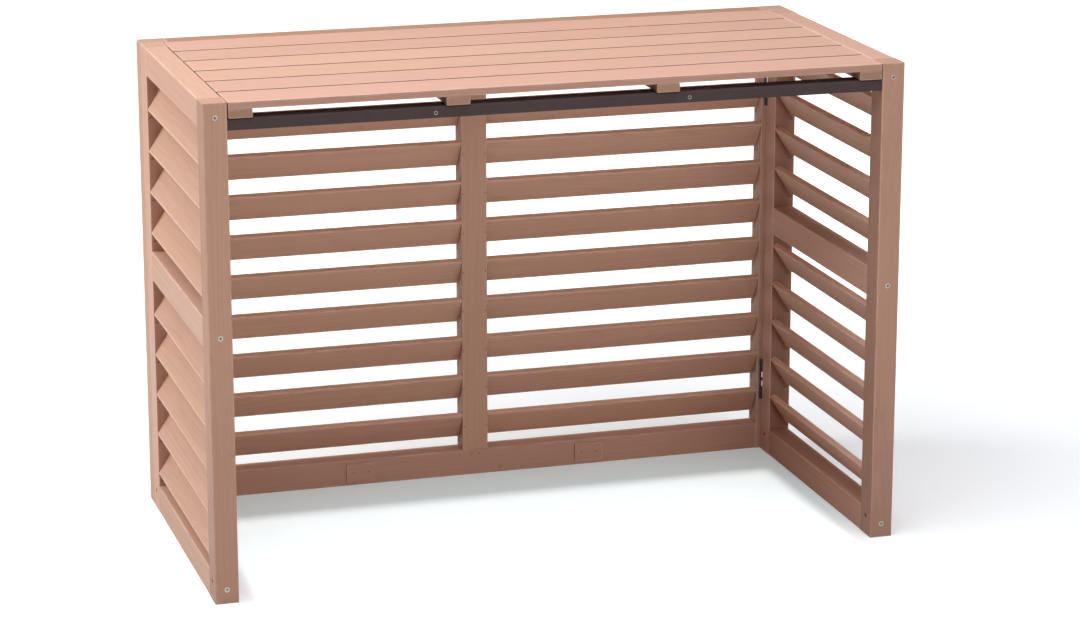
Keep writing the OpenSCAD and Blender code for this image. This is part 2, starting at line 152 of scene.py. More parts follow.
def add_node(tree, kind, options=None, **sockets):
    """One shader node, with its options set and its sockets fed. Socket names have _ for a space."""
    node = tree.nodes.new("ShaderNode" + kind)
    for option, value in (options or {}).items():
        setattr(node, option, value)
    for name, value in sockets.items():
        feed(tree, node.inputs[name.replace("_", " ")], value)
    return node


def maths(tree, operation, *values, clamp=False):
    node = add_node(tree, "Math", {"operation": operation, "use_clamp": clamp})
    for socket, value in zip(node.inputs, values):
        feed(tree, socket, value)
    return node.outputs[0]


def vector_maths(tree, operation, *values):
    node = add_node(tree, "VectorMath", {"operation": operation})
    for socket, value in zip(node.inputs, values):
        feed(tree, socket, value)
    return node.outputs["Value" if operation in ("LENGTH", "DOT_PRODUCT") else "Vector"]


def fade(tree, value, start, end, low=0.0, high=1.0):
    """Goes smoothly from low at start to high at end."""
    node = add_node(tree, "MapRange", {"interpolation_type": "SMOOTHSTEP"})
    for name, number in (("Value", value), ("From Min", start), ("From Max", end),
                         ("To Min", low), ("To Max", high)):
        feed(tree, node.inputs[name], number)
    return node.outputs["Result"]


def mix_colours(tree, factor, first, second, blend="MIX"):
    node = add_node(tree, "Mix", {"data_type": "RGBA", "blend_type": blend})
    feed(tree, node.inputs["Factor"], factor)
    feed(tree, node.inputs[6], first)
    feed(tree, node.inputs[7], second)
    return node.outputs[2]


def noise(tree, place, stretch, detail=2.0, roughness=0.5):
    """Noise on a place that is first stretched by three numbers, its features per metre."""
    stretched = vector_maths(tree, "MULTIPLY", place, stretch)
    return add_node(tree, "TexNoise", Vector=stretched, Scale=1.0, Detail=detail, Roughness=roughness)


def new_group(name, inputs, outputs):
    """An empty shader node group with named sockets, and its two end nodes."""
    group = bpy.data.node_groups.new(name, "ShaderNodeTree")
    for way, sockets in (("INPUT", inputs), ("OUTPUT", outputs)):
        for socket, kind in sockets.items():
            group.interface.new_socket(name=socket, in_out=way, socket_type="NodeSocket" + kind)
    return group, group.nodes.new("NodeGroupInput").outputs, group.nodes.new("NodeGroupOutput").inputs


def make_slat_place():
    """Where a point lies on its own slat: across it, through it and along it, and which slat it is."""
    group, given, result = new_group(
        "slat_place",
        {"Panel place": "Vector", "Lowest": "Float", "Pitch": "Float"},
        {"Place": "Vector", "Number": "Float"},
    )
    parts = add_node(group, "SeparateXYZ", Vector=given["Panel place"]).outputs
    above = maths(group, "SUBTRACT", parts["Z"], given["Lowest"])
    number = maths(group, "ROUND", maths(group, "DIVIDE", above, given["Pitch"]))
    rest = maths(group, "SUBTRACT", above, maths(group, "MULTIPLY", number, given["Pitch"]))
    sine, cosine = math.sin(SLAT_TILT), math.cos(SLAT_TILT)
    across = maths(group, "SUBTRACT", maths(group, "MULTIPLY", parts["Y"], cosine),
                   maths(group, "MULTIPLY", rest, sine))
    through = maths(group, "ADD", maths(group, "MULTIPLY", parts["Y"], sine),
                    maths(group, "MULTIPLY", rest, cosine))
    place = add_node(group, "CombineXYZ", X=across, Y=through, Z=parts["X"])
    feed(group, result["Place"], place.outputs[0])
    feed(group, result["Number"], number)
    return group


def make_softwood():
    """Growth rings round a pith, fibres along Z, a rare knot and an uneven stain."""
    group, given, result = new_group(
        "softwood",
        {"Place": "Vector", "Normal": "Vector", "Seed": "Float", "End tone": "Float",
         "Pale": "Color", "Dark": "Color", "Knot": "Color"},
        {"Color": "Color", "Height": "Float", "Roughness": "Float"},
    )
    chance = add_node(group, "TexWhiteNoise", {"noise_dimensions": "1D"}, W=given["Seed"])
    chances = add_node(group, "SeparateColor", Color=chance.outputs["Color"]).outputs

    # The pith lies to one side of the lath, at a distance of its own
    pith = add_node(
        group, "CombineXYZ",
        X=maths(group, "MULTIPLY_ADD", chances[0], PITH_SPREAD, -PITH_SPREAD / 2),
        Y=maths(group, "MULTIPLY_ADD", chances[1], PITH_DEPTH, PITH_NEAR),
        Z=maths(group, "MULTIPLY", given["Seed"], TRUNK_STEP),
    ).outputs[0]
    start = vector_maths(group, "ADD", given["Place"], pith)

    # The trunk was never quite straight: a slow bend, then a small waver
    middle_grey = (0.5, 0.5, 0.5)
    slow = noise(group, start, (5, 5, 1.7), 1.5).outputs["Color"]
    quick = noise(group, start, (70, 70, 9)).outputs["Color"]
    bend = vector_maths(group, "SUBTRACT", slow, middle_grey)
    waver = vector_maths(group, "SUBTRACT", quick, middle_grey)
    moved = vector_maths(group, "MULTIPLY_ADD", bend, (TRUNK_BEND, TRUNK_BEND, 0), start)
    moved = vector_maths(group, "MULTIPLY_ADD", waver, (TRUNK_WAVER, TRUNK_WAVER, 0), moved)
    parts = add_node(group, "SeparateXYZ", Vector=moved).outputs
    radius = vector_maths(group, "LENGTH", vector_maths(group, "MULTIPLY", moved, (1, 1, 0)))
    angle = maths(group, "ARCTAN2", parts["X"], parts["Y"])

    # Knots run out from the pith, so they are found by angle and height
    branch_place = add_node(
        group, "CombineXYZ",
        X=maths(group, "MULTIPLY", angle, 0.17),
        Y=maths(group, "MULTIPLY", parts["Z"], 3.1),
        Z=0.0,
    ).outputs[0]
    branches = add_node(group, "TexVoronoi", {"voronoi_dimensions": "2D"},
                        Vector=branch_place, Scale=1.0)
    near = branches.outputs["Distance"]
    swirl = fade(group, near, SWIRL_SIZE, 0.0, 0.0, KNOT_SWELL)
    knot = fade(group, near, KNOT_RIM, KNOT_HEART)

    # Rings: pale early wood that darkens to a thin line of late wood, each a little wider or narrower
    ripple = noise(group, start, (45, 45, 4)).outputs[0]
    ring_radius = maths(group, "ADD", maths(group, "ADD", radius, swirl),
                        maths(group, "MULTIPLY", ripple, RING_RIPPLE))
    way_out = maths(group, "MULTIPLY", ring_radius, RING_CHANGES)
    width_noise = add_node(group, "TexNoise", {"noise_dimensions": "1D"},
                           W=maths(group, "ADD", given["Seed"], way_out), Scale=1.0, Detail=1.0)
    turns = maths(group, "ADD", maths(group, "DIVIDE", ring_radius, RING_WIDTH),
                  maths(group, "MULTIPLY", width_noise.outputs[0], RING_VARIETY))
    part_of_ring = maths(group, "FRACT", turns)
    late = add_node(group, "ValToRGB", Fac=part_of_ring)
    ramp = late.color_ramp
    for position, grey in ((0.10, 0.04), (0.55, 0.20), (0.86, 0.95)):
        step = ramp.elements.new(position)
        step.color = (grey, grey, grey, 1)
    ramp.elements[0].color = (0.45, 0.45, 0.45, 1)
    ramp.elements[-1].color = (0.45, 0.45, 0.45, 1)
    late_wood = late.outputs["Color"]

    # Fibres, streaks and slow changes of the stain
    fibre = noise(group, start, (1300, 1300, 26), 2.0).outputs[0]
    streak = noise(group, start, (260, 260, 5), 3.0).outputs[0]
    cloud = noise(group, start, (16, 16, 4.5), 3.0).outputs[0]
    late_share = fade(group, cloud, 0.25, 0.75, LATE_SHARE_THIN, LATE_SHARE_THICK)
    fibre_share = fade(group, fibre, 0.35, 0.75, 0.0, FIBRE_SHARE)
    streak_share = fade(group, streak, 0.40, 0.85, 0.0, STREAK_SHARE)
    dark_share = maths(group, "MULTIPLY_ADD", late_wood, late_share, fibre_share)
    dark_share = maths(group, "ADD", dark_share, streak_share, clamp=True)
    dark_share = maths(group, "ADD", dark_share, EVEN_SHARE, clamp=True)
    colour = mix_colours(group, dark_share, given["Pale"], given["Dark"])
    colour = mix_colours(group, maths(group, "MULTIPLY", knot, KNOT_SHARE), colour, given["Knot"])

    # Each lath took the stain a little differently, and the stain lies unevenly
    tone = maths(group, "ADD", maths(group, "MULTIPLY_ADD", chances[2], *OWN_TONE),
                 maths(group, "MULTIPLY_ADD", cloud, CLOUD_TONE, -CLOUD_TONE / 2))
    green = maths(group, "MULTIPLY_ADD", chances[0], *OWN_GREEN)
    blue = maths(group, "MULTIPLY_ADD", chances[1], *OWN_BLUE)
    own_tone = add_node(group, "CombineXYZ", X=tone, Y=maths(group, "MULTIPLY", tone, green),
                        Z=maths(group, "MULTIPLY", tone, blue))
    colour = mix_colours(group, 1.0, colour, own_tone.outputs[0], "MULTIPLY")

    # The stain sinks deeper into end grain; on some laths the end tone is also painted shade
    along = add_node(group, "SeparateXYZ", Vector=given["Normal"]).outputs["Z"]
    end_grain = fade(group, maths(group, "ABSOLUTE", along), 0.55, 0.9)
    pores = noise(group, start, (1500, 1500, 60), 1.0).outputs[0]
    end_tone = maths(group, "MULTIPLY", given["End tone"], fade(group, pores, 0.3, 0.7, 0.92, 1.02))
    end_colour = mix_colours(group, 1.0, colour, end_tone, "MULTIPLY")
    feed(group, result["Color"], mix_colours(group, end_grain, colour, end_colour))
    feed(group, result["Height"],
         maths(group, "MULTIPLY", maths(group, "ADD", fibre, late_wood), 0.5))
    feed(group, result["Roughness"], fade(group, streak, 0.3, 0.7, 0.50, 0.64))
    return group


def make_edge_wear_and_highlight():
    """How close a point on a lath lies to an edge, where it is worn and has a painted highlight.

    That is the middle one of its three distances, each to the nearer of two opposite faces.
    """
    group, given, result = new_group(
        "edge_wear_and_highlight",
        {"Place": "Vector", "Half size": "Vector", "Reach": "Float"},
        {"Mask": "Float"},
    )
    off_middle = vector_maths(group, "ABSOLUTE", given["Place"])
    inside = vector_maths(group, "SUBTRACT", given["Half size"], off_middle)
    parts = add_node(group, "SeparateXYZ", Vector=inside).outputs
    lower = maths(group, "MINIMUM", parts["X"], parts["Y"])
    upper = maths(group, "MAXIMUM", parts["X"], parts["Y"])
    middle = maths(group, "MAXIMUM", lower, maths(group, "MINIMUM", upper, parts["Z"]))
    uneven = noise(group, given["Place"], (180, 180, 34), 3.0).outputs[0]
    reach = maths(group, "MULTIPLY", given["Reach"], fade(group, uneven, 0.3, 0.7, 0.35, 1.5))
    worn_and_lit = maths(group, "SUBTRACT", 1.0, maths(group, "DIVIDE", middle, reach), clamp=True)
    feed(group, result["Mask"], worn_and_lit)
    return group


SLAT_PLACE = make_slat_place()
SOFTWOOD = make_softwood()
EDGE_WEAR_AND_HIGHLIGHT = make_edge_wear_and_highlight()


def new_material(name):
    material = bpy.data.materials.new(name)
    material.use_nodes = True
    tree = material.node_tree
    shader = tree.nodes["Principled BSDF"]
    coordinates = add_node(tree, "TexCoord")
    return material, tree, shader, coordinates


def use_group(tree, group, **sockets):
    node = tree.nodes.new("ShaderNodeGroup")
    node.node_tree = group
    for name, value in sockets.items():
        feed(tree, node.inputs[name.replace("_", " ")], value)
    return node


def toned(colour, tone):
    """A colour made paler or darker, with its alpha."""
    return (*(min(part * factor, 1.0) for part, factor in zip(colour, tone)), 1)


def wooden(place, normal, seed, half_size, tree, shader, tone=PLAIN_TONE, raw=False,
           painted_gap_shade=(0, 0), end_tone=END_TONE):
    """Feeds a material's shader with softwood.

    Painted gap shade says how far the front and back sides of a lath are darkened as painted shade.
    """
    wood = use_group(tree, SOFTWOOD, Place=place, Normal=normal, Seed=seed,
                     End_tone=end_tone / min(max(tone), 1.0),
                     Pale=toned(RAW_PALE if raw else WOOD_PALE, tone),
                     Dark=toned(RAW_DARK if raw else WOOD_DARK, tone), Knot=toned(WOOD_KNOT, tone))
    # Edges paler from wear and from a painted highlight
    worn_and_lit = use_group(tree, EDGE_WEAR_AND_HIGHLIGHT, Place=place, Half_size=half_size, Reach=WEAR_AND_HIGHLIGHT_REACH)
    colour = mix_colours(tree, maths(tree, "MULTIPLY", worn_and_lit.outputs["Mask"], WEAR_AND_HIGHLIGHT_SHARE),
                         wood.outputs["Color"], toned(WOOD_WORN_AND_LIT, tone))
    # Painted shade where a side of a board faces a gap between boards
    if any(painted_gap_shade):
        sideways = add_node(tree, "SeparateXYZ", Vector=normal).outputs["Y"]
        front = fade(tree, sideways, -0.45, -0.9, 0.0, painted_gap_shade[0])
        gap_shade = maths(tree, "ADD", front, fade(tree, sideways, 0.45, 0.9, 0.0, painted_gap_shade[1]))
        colour = mix_colours(tree, gap_shade, colour, GAP_SHADE_COLOUR)
    feed(tree, shader.inputs["Base Color"], colour)
    feed(tree, shader.inputs["Roughness"], wood.outputs["Roughness"])
    shader.inputs["Specular IOR Level"].default_value = STAIN_GLOSS
    bump = add_node(tree, "Bump", Height=wood.outputs["Height"],
                    Strength=GRAIN_STRENGTH, Distance=GRAIN_DEPTH)
    feed(tree, shader.inputs["Normal"], bump.outputs["Normal"])


# Turns that bring a lath's grain from X, Y or Z to Z
GRAIN_TURN = {
    "X": Matrix.Rotation(math.radians(-90), 4, "Y"),
    "Y": Matrix.Rotation(math.radians(90), 4, "X"),
    "Z": Matrix.Identity(4),
}


def lath_material(node, grain, seed, tone=PLAIN_TONE, raw=False, painted_gap_shade=(0, 0), end_tone=END_TONE):
    """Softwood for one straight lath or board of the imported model, or a few short ones in a row."""
    material, tree, shader, coordinates = new_material(node + "_wood")
    low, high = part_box(node)
    turn = GRAIN_TURN[grain]
    centre = turn @ ((low + high) / 2)
    half = turn @ ((high - low) / 2)
    mapping = add_node(tree, "Mapping", Vector=coordinates.outputs["Object"])
    mapping.inputs["Location"].default_value = -centre
    mapping.inputs["Rotation"].default_value = turn.to_euler()
    facing = add_node(tree, "Mapping", {"vector_type": "NORMAL"}, Vector=coordinates.outputs["Normal"])
    facing.inputs["Rotation"].default_value = turn.to_euler()
    half_size = tuple(abs(value) for value in half)
    wooden(mapping.outputs[0], facing.outputs[0], seed, half_size, tree, shader,
           tone, raw, painted_gap_shade, end_tone)
    return material


def find_slat(tree, coordinates, node, facing_turn):
    """Finds the slat of a bay that a point is nearest to, and gives the slats' width too."""
    back_low, back_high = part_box("back_left_slats")
    depth = back_high.y - back_low.y
    wide = (depth - SLAT_THICKNESS * math.sin(SLAT_TILT)) / math.cos(SLAT_TILT)
    rise = wide * math.sin(SLAT_TILT) + SLAT_THICKNESS * math.cos(SLAT_TILT)
    pitch = (back_high.z - back_low.z - rise) / (SLAT_COUNT - 1)
    low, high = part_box(node)
    centre = (low + high) / 2
    centre.z = 0
    turn = Matrix.Rotation(facing_turn, 4, "Z")
    mapping = add_node(tree, "Mapping", Vector=coordinates.outputs["Object"])
    mapping.inputs["Location"].default_value = -(turn @ centre)
    mapping.inputs["Rotation"].default_value = turn.to_euler()
    on_slat = use_group(tree, SLAT_PLACE, Panel_place=mapping.outputs[0],
                        Lowest=back_low.z + rise / 2, Pitch=pitch)
    return on_slat.outputs, wide


def slat_material(node, facing_turn, first_seed):
    """Softwood for a bay's slats, each with a grain of its own."""
    material, tree, shader, coordinates = new_material(node + "_wood")
    on_slat, wide = find_slat(tree, coordinates, node, facing_turn)
    seed = maths(tree, "ADD", on_slat["Number"], float(first_seed))
    low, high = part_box(node)
    length = max(high.x - low.x, high.y - low.y)
    half_size = (wide / 2, SLAT_THICKNESS / 2, length / 2 - TENON_LENGTH)
    turn = Matrix.Rotation(facing_turn, 4, "Z")
    upright = Matrix.Rotation(math.radians(-90), 4, "Y") @ turn
    facing = add_node(tree, "Mapping", {"vector_type": "NORMAL"}, Vector=coordinates.outputs["Normal"])
    facing.inputs["Rotation"].default_value = upright.to_euler()
    wooden(on_slat["Place"], facing.outputs[0], seed, half_size, tree, shader, SLAT_TONE)

    # Painted light on the slats' narrow sides
    width_way = turn.inverted() @ Vector((0, -math.cos(SLAT_TILT), math.sin(SLAT_TILT)))
    paint_light_on_sides(material, width_way, SLAT_EDGE_LIGHT)
    return material


def overlay(material, share, colour, blend="MIX"):
    """Lays a colour over a material's own."""
    tree = material.node_tree
    base = tree.nodes["Principled BSDF"].inputs["Base Color"]
    feed(tree, base, mix_colours(tree, share, base.links[0].from_socket, colour, blend))


def paint_light_on_sides(material, way, tone):
    """Paints light on the two sides that look along a way, making them paler or darker."""
    tree = material.node_tree
    normal = tree.nodes["Texture Coordinate"].outputs["Normal"]
    looks = maths(tree, "ABSOLUTE", vector_maths(tree, "DOT_PRODUCT", normal, way))
    overlay(material, fade(tree, looks, 0.75, 0.95), tone, "MULTIPLY")


def shade_foot(material):
    """Paints shade on a post, deepening from part of its height down to the floor."""
    tree = material.node_tree
    place = tree.nodes["Texture Coordinate"].outputs["Object"]
    height = add_node(tree, "SeparateXYZ", Vector=place).outputs["Z"]
    overlay(material, fade(tree, height, FOOT_HEIGHT, 0.0), FOOT_SHADE, "MULTIPLY")


def shade_corners(material, slats, facing_turn, side, everywhere, under):
    """Paints shade on the side of a stile that the slats run into, most of all right under each slat.
    """
    tree = material.node_tree
    coordinates = tree.nodes["Texture Coordinate"]
    on_slat = find_slat(tree, coordinates, slats, facing_turn)[0]
    through = add_node(tree, "SeparateXYZ", Vector=on_slat["Place"]).outputs["Y"]
    face = -SLAT_THICKNESS / 2
    share = fade(tree, through, face - SHADE_REACH, face, everywhere, under)
    share = maths(tree, "MULTIPLY", share,
                  fade(tree, through, face + SHADE_EDGE, face, everywhere / under, 1.0))
    looks = vector_maths(tree, "DOT_PRODUCT", coordinates.outputs["Normal"], side)
    overlay(material, maths(tree, "MULTIPLY", share, fade(tree, looks, 0.7, 0.95)), CORNER_SHADE)


# Steel: how much its patches and specks change its tone and roughness, and how strong its relief is
PATCH_TONE = 0.2
PATCH_GLOSS = 0.07
SPECK_GLOSS = 0.06
STEEL_RELIEF = 0.3


def metal_material(name, colour, metallic, roughness, specks, specks_per_metre, relief):
    """Plated or coated steel with fine specks, patches of different gloss and a soft orange peel."""
    material, tree, shader, coordinates = new_material(name)
    place = coordinates.outputs["Object"]
    fine = noise(tree, place, (specks_per_metre,) * 3, 2.0).outputs[0]
    patch = noise(tree, place, (55, 55, 55), 3.0).outputs[0]
    tone = maths(tree, "ADD", fade(tree, fine, 0.3, 0.7, 1 - specks, 1 + specks),
                 maths(tree, "MULTIPLY_ADD", patch, PATCH_TONE, -PATCH_TONE / 2))
    feed(tree, shader.inputs["Base Color"], mix_colours(tree, 1.0, colour, tone, "MULTIPLY"))
    gloss = fade(tree, patch, 0.3, 0.7, roughness - PATCH_GLOSS, roughness + PATCH_GLOSS)
    feed(tree, shader.inputs["Roughness"],
         maths(tree, "ADD", gloss, maths(tree, "MULTIPLY_ADD", fine, SPECK_GLOSS, -SPECK_GLOSS / 2)))
    shader.inputs["Metallic"].default_value = metallic
    bump = add_node(tree, "Bump", Height=fine, Strength=STEEL_RELIEF, Distance=relief)
    feed(tree, shader.inputs["Normal"], bump.outputs["Normal"])
    return material


def dress(node, material):
    """Gives a CAD node its finish through its material slots."""
    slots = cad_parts[node].material_slots
    if not slots:
        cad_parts[node].data.materials.append(material)
    for slot in slots:
        slot.material = material


def own_material(node):
    """The finish that a CAD node already has."""
    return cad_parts[node].data.materials[0]


# Camera, as the photograph was taken: where it stands, and how far it is turned and tipped
CAMERA_PLACE = (-1.3144, -4.4537, 1.5705)
CAMERA_YAW, CAMERA_DIP = 0.2951, 0.2633
SENSOR_WIDTH = 36
LENS_LENGTH = 109.94
VIEW_DISTANCE = 200
camera_data = bpy.data.cameras.new("camera")
camera = bpy.data.objects.new("camera", camera_data)
bpy.context.scene.collection.objects.link(camera)
bpy.context.scene.camera = camera
camera.location = CAMERA_PLACE
camera.rotation_mode = "QUATERNION"
looks_along = Vector((math.sin(CAMERA_YAW) * math.cos(CAMERA_DIP),
                      math.cos(CAMERA_YAW) * math.cos(CAMERA_DIP), -math.sin(CAMERA_DIP)))
camera.rotation_quaternion = looks_along.to_track_quat("-Z", "Y")
camera_data.sensor_width = SENSOR_WIDTH
camera_data.lens = LENS_LENGTH
camera_data.clip_end = VIEW_DISTANCE

# Timber
LATHS_BY_GRAIN = {
    "Z": ["left_front_stile", "left_rear_stile", "right_front_stile", "right_rear_stile",
          "back_left_stile", "back_centre_stile", "back_right_stile"],
    "Y": ["left_top_rail", "left_mid_rail", "left_bottom_rail",
          "right_top_rail", "right_mid_rail", "right_bottom_rail"]
         + [f"top_batten_{n}" for n in range(1, 5)],
    "X": ["back_top_rail", "back_bottom_rail", "back_ledger", "rail_pads"]
         + [f"top_board_{n}" for n in range(1, 7)],
}
LID_BOARDS = [lath for lath in LATHS_BY_GRAIN["X"] if lath.startswith("top_board")]
# Each lath and each slat has a seed of its own, and so a place of its own in the trunk
FIRST_SEED, SEED_STEP = 3.0, 1.7
FIRST_SLAT_SEED, SLAT_SEED_STEP = 104, 20
seed = FIRST_SEED
for grain, laths in LATHS_BY_GRAIN.items():
    for lath in laths:
        tone, painted_gap_shade, end_tone = PLAIN_TONE, (0, 0), END_TONE
        if lath.endswith("_front_stile"):
            tone = POST_SHADE
        elif lath.endswith(("_rear_stile", "t_top_rail", "_mid_rail")):
            tone = SIDE_TONE
        elif lath.startswith("top_batten"):
            tone, end_tone = BATTEN_SHADE, BATTEN_END_SHADE
        elif lath == "back_top_rail":
            tone = BACK_TOP_SHADE
        elif lath == "rail_pads":
            tone, end_tone = PAD_TONE, PAD_END_SHADE
        elif lath == "right_bottom_rail":
            tone = RIGHT_FOOT_SHADE
        elif lath in LID_BOARDS:
            tone, end_tone = LID_LIGHT, BOARD_END_SHADE
            painted_gap_shade = (FRONT_EDGE_DARKENING if lath == LID_BOARDS[0] else 1, int(lath != LID_BOARDS[-1]))
        dress(lath, lath_material(lath, grain, seed, tone, painted_gap_shade=painted_gap_shade, end_tone=end_tone))
        seed += SEED_STEP
dress("corner_dowels", lath_material("corner_dowels", "X", seed, raw=True))

UPWARDS = (0, 0, 1)
TO_THE_FRONT = (0, -1, 0)
TO_THE_LEFT = (-1, 0, 0)
# Painted light on top of the wide panel's bottom rail
paint_light_on_sides(own_material("back_bottom_rail"), UPWARDS, RAIL_TOP_LIGHT)
for post in ("left_front_stile", "right_front_stile"):
    shade_foot(own_material(post))
# The turn about Z, in degrees, that brings each bay's slats to lie as the wide panel's do
SLAT_TURNS = {"back_left_slats": 0, "back_right_slats": 0,
              "left_upper_slats": -90, "left_lower_slats": -90,
              "right_upper_slats": 90, "right_lower_slats": 90}
# The stiles with painted shade in their corners: the slats that run into them, the side that these
# run into, and the shade's share all over that side and right under a slat
SHADED_STILES = {
    "left_rear_stile": ("left_upper_slats", TO_THE_FRONT, 0.5, 0.85),
    "right_rear_stile": ("right_upper_slats", TO_THE_FRONT, 0.62, 0.95),
    "back_centre_stile": ("back_left_slats", TO_THE_LEFT, 0.01, 0.7),
    "back_right_stile": ("back_right_slats", TO_THE_LEFT, 0.01, 0.7),
}
for stile, (slats, side, everywhere, under) in SHADED_STILES.items():
    shade_corners(own_material(stile), slats, math.radians(SLAT_TURNS[slats]), side, everywhere, under)
for number, (node, turn_degrees) in enumerate(SLAT_TURNS.items()):
    first_seed = FIRST_SLAT_SEED + SLAT_SEED_STEP * number
    dress(node, slat_material(node, math.radians(turn_degrees), first_seed))

# Metal
brown_coat = metal_material("brown_powder_coat", (0.061, 0.042, 0.041, 1), metallic=0.0, roughness=0.62,
                            specks=0.10, specks_per_metre=1500.0, relief=0.00012)
COAT_GLOSS = 0.06
brown_coat.node_tree.nodes["Principled BSDF"].inputs["Specular IOR Level"].default_value = COAT_GLOSS
zinc_plate = metal_material("zinc_plate", (0.54, 0.515, 0.45, 1), metallic=1.0, roughness=0.38,
                            specks=0.08, specks_per_metre=700.0, relief=0.00003)
black_plate = metal_material("black_plate", (0.030, 0.033, 0.040, 1), metallic=0.6, roughness=0.36,
                             specks=0.12, specks_per_metre=900.0, relief=0.00004)
# Dark steel: painted shade in screw recesses and the brace's bores, and the brads' own dark colour
recess_shade_and_dark_brads = metal_material("recess_shade_and_dark_brads", (0.055, 0.045, 0.036, 1), metallic=0.3, roughness=0.6,
                             specks=0.2, specks_per_metre=1200.0, relief=0.00003)

# Painted highlights on the hinges' barrels, in metres: how near to the hinge's middle they start, how
# far they reach, where they end on the inner side of the pin's axis, and how soft their outlines are
BARREL_HIGHLIGHT = (0.92, 0.86, 0.83, 1)
HIGHLIGHT_NEAR, HIGHLIGHT_FAR = 0.0028, 0.0115
HIGHLIGHT_EDGE = -0.0018
HIGHLIGHT_END_BLUR, HIGHLIGHT_SIDE_BLUR = 0.0006, 0.0004
pin_low, pin_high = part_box("right_lower_hinge_pin")
PIN_X = (pin_low.x + pin_high.x) / 2


def highlighted_leaf(node):
    """Black plating with painted highlights on the barrel, one above its middle and one below."""
    material = black_plate.copy()
    material.name = node + "_steel"
    tree = material.node_tree
    low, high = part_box(node)
    place = tree.nodes["Texture Coordinate"].outputs["Object"]
    parts = add_node(tree, "SeparateXYZ", Vector=place).outputs
    up = maths(tree, "ABSOLUTE", maths(tree, "SUBTRACT", parts["Z"], (low.z + high.z) / 2))
    highlights = maths(tree, "MULTIPLY", fade(tree, up, HIGHLIGHT_NEAR - HIGHLIGHT_END_BLUR, HIGHLIGHT_NEAR + HIGHLIGHT_END_BLUR),
                  fade(tree, up, HIGHLIGHT_FAR + HIGHLIGHT_END_BLUR, HIGHLIGHT_FAR - HIGHLIGHT_END_BLUR))
    outward = maths(tree, "SUBTRACT", maths(tree, "ABSOLUTE", parts["X"]), PIN_X)
    highlights = maths(tree, "MULTIPLY", highlights,
                  fade(tree, outward, HIGHLIGHT_EDGE - HIGHLIGHT_SIDE_BLUR, HIGHLIGHT_EDGE + HIGHLIGHT_SIDE_BLUR))
    overlay(material, highlights, BARREL_HIGHLIGHT)
    return material


dress("front_brace", brown_coat)
dress("brads", recess_shade_and_dark_brads)
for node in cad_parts:
    if node.endswith("_leaf"):
        dress(node, highlighted_leaf(node))
    elif node == "hinge_screws":
        dress(node, black_plate)
    elif node.endswith(("_pin", "_screws", "_end_plates")):
        dress(node, zinc_plate)


# Screws in the front posts: countersunk heads with a rounded rim and a tapered cross recess, in metres
HEAD_RIM = 0.0004
RIM_ANGLES = (0, 30, 60, 90)
HEAD_RADIUS = 0.0038
HEAD_DEPTH = 0.0024
SHANK_RADIUS = 0.002
POINT_RADIUS = 0.0003
POINT_LENGTH = 0.006
RECESS_ARM = 0.0021
RECESS_HALF_WIDTH = 0.0006
RECESS_DEPTH = 0.0014
RECESS_TAPER = 0.45
HEAD_SIDES = 40
WELD_DISTANCE = 0.00002
SHARP_ANGLE = math.radians(35)
INWARDS = (0, 1, 0)


def added_since(bm, before):
    """The corners that a bmesh has gained since it had those named before."""
    return [vert for vert in bm.verts if vert not in before]


def spin_profile(bm, profile, axis):
    """Turns an open profile once round an axis through the origin and welds the seam."""
    before = set(bm.verts)
    verts = [bm.verts.new(point) for point in profile]
    edges = [bm.edges.new(pair) for pair in zip(verts, verts[1:])]
    bmesh.ops.spin(bm, geom=verts + edges, cent=(0, 0, 0), axis=axis, angle=math.tau,
                   steps=HEAD_SIDES, use_merge=True)
    bmesh.ops.remove_doubles(bm, verts=added_since(bm, before), dist=WELD_DISTANCE)


def cross_outline(arm, half_width):
    """The twelve corners of a cross, anticlockwise from the right arm."""
    corners = []
    for quarter in range(4):
        turn = Matrix.Rotation(math.radians(90 * quarter), 2)
        for x, y in ((arm, -half_width), (arm, half_width), (half_width, half_width)):
            corners.append(turn @ Vector((x, y)))
    return corners


